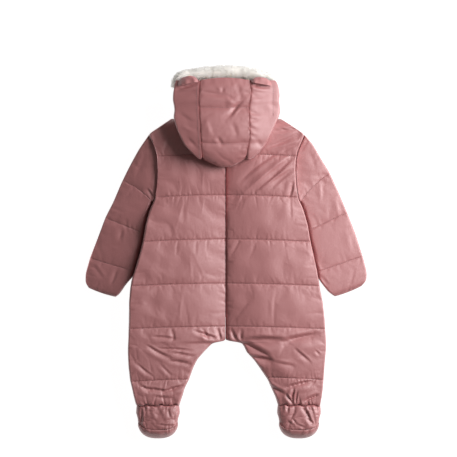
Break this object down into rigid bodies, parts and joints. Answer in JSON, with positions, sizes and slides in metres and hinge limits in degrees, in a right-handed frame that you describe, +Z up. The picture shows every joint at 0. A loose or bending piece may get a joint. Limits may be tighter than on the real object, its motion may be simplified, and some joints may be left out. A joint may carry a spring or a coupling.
{
  "type": "baby snowsuit",
  "caption": "Quilted, wadded one-piece baby suit laid flat on its front: long sleeves, footed legs, and a fleece-edged hood with small ears folded over the back.",
  "frame": {"origin": "middle of the garment's outline, on the surface that it lies on", "axes": "+X to the wearer's right, +Y from feet to head, +Z up from the surface; the back faces up"},
  "size_m": [0.5072, 0.6731, 0.08],
  "materials": {
    "shell": "dusty pink woven polyester, softly satin, quilted over wadding",
    "fleece": "off-white short-pile fleece, matte",
    "zip": "pink moulded zip, satin"
  },
  "bodies": {
    "root": {"back_left": "shell", "back_right": "shell", "front_left": "shell", "front_right": "shell", "sleeve_top_left": "shell", "sleeve_top_right": "shell", "sleeve_under_left": "shell", "sleeve_under_right": "shell", "hood_centre": "shell", "hood_side_left": "shell", "hood_side_right": "shell", "ear_left": "shell", "ear_right": "shell", "foot_upper_left": "shell", "foot_upper_right": "shell", "foot_front_left": "shell", "foot_front_right": "shell", "sole_left": "shell", "sole_right": "shell", "hood_fleece": "fleece", "zip_chain": "zip", "zip_slider": "zip"}
  },
  "joints": []
}
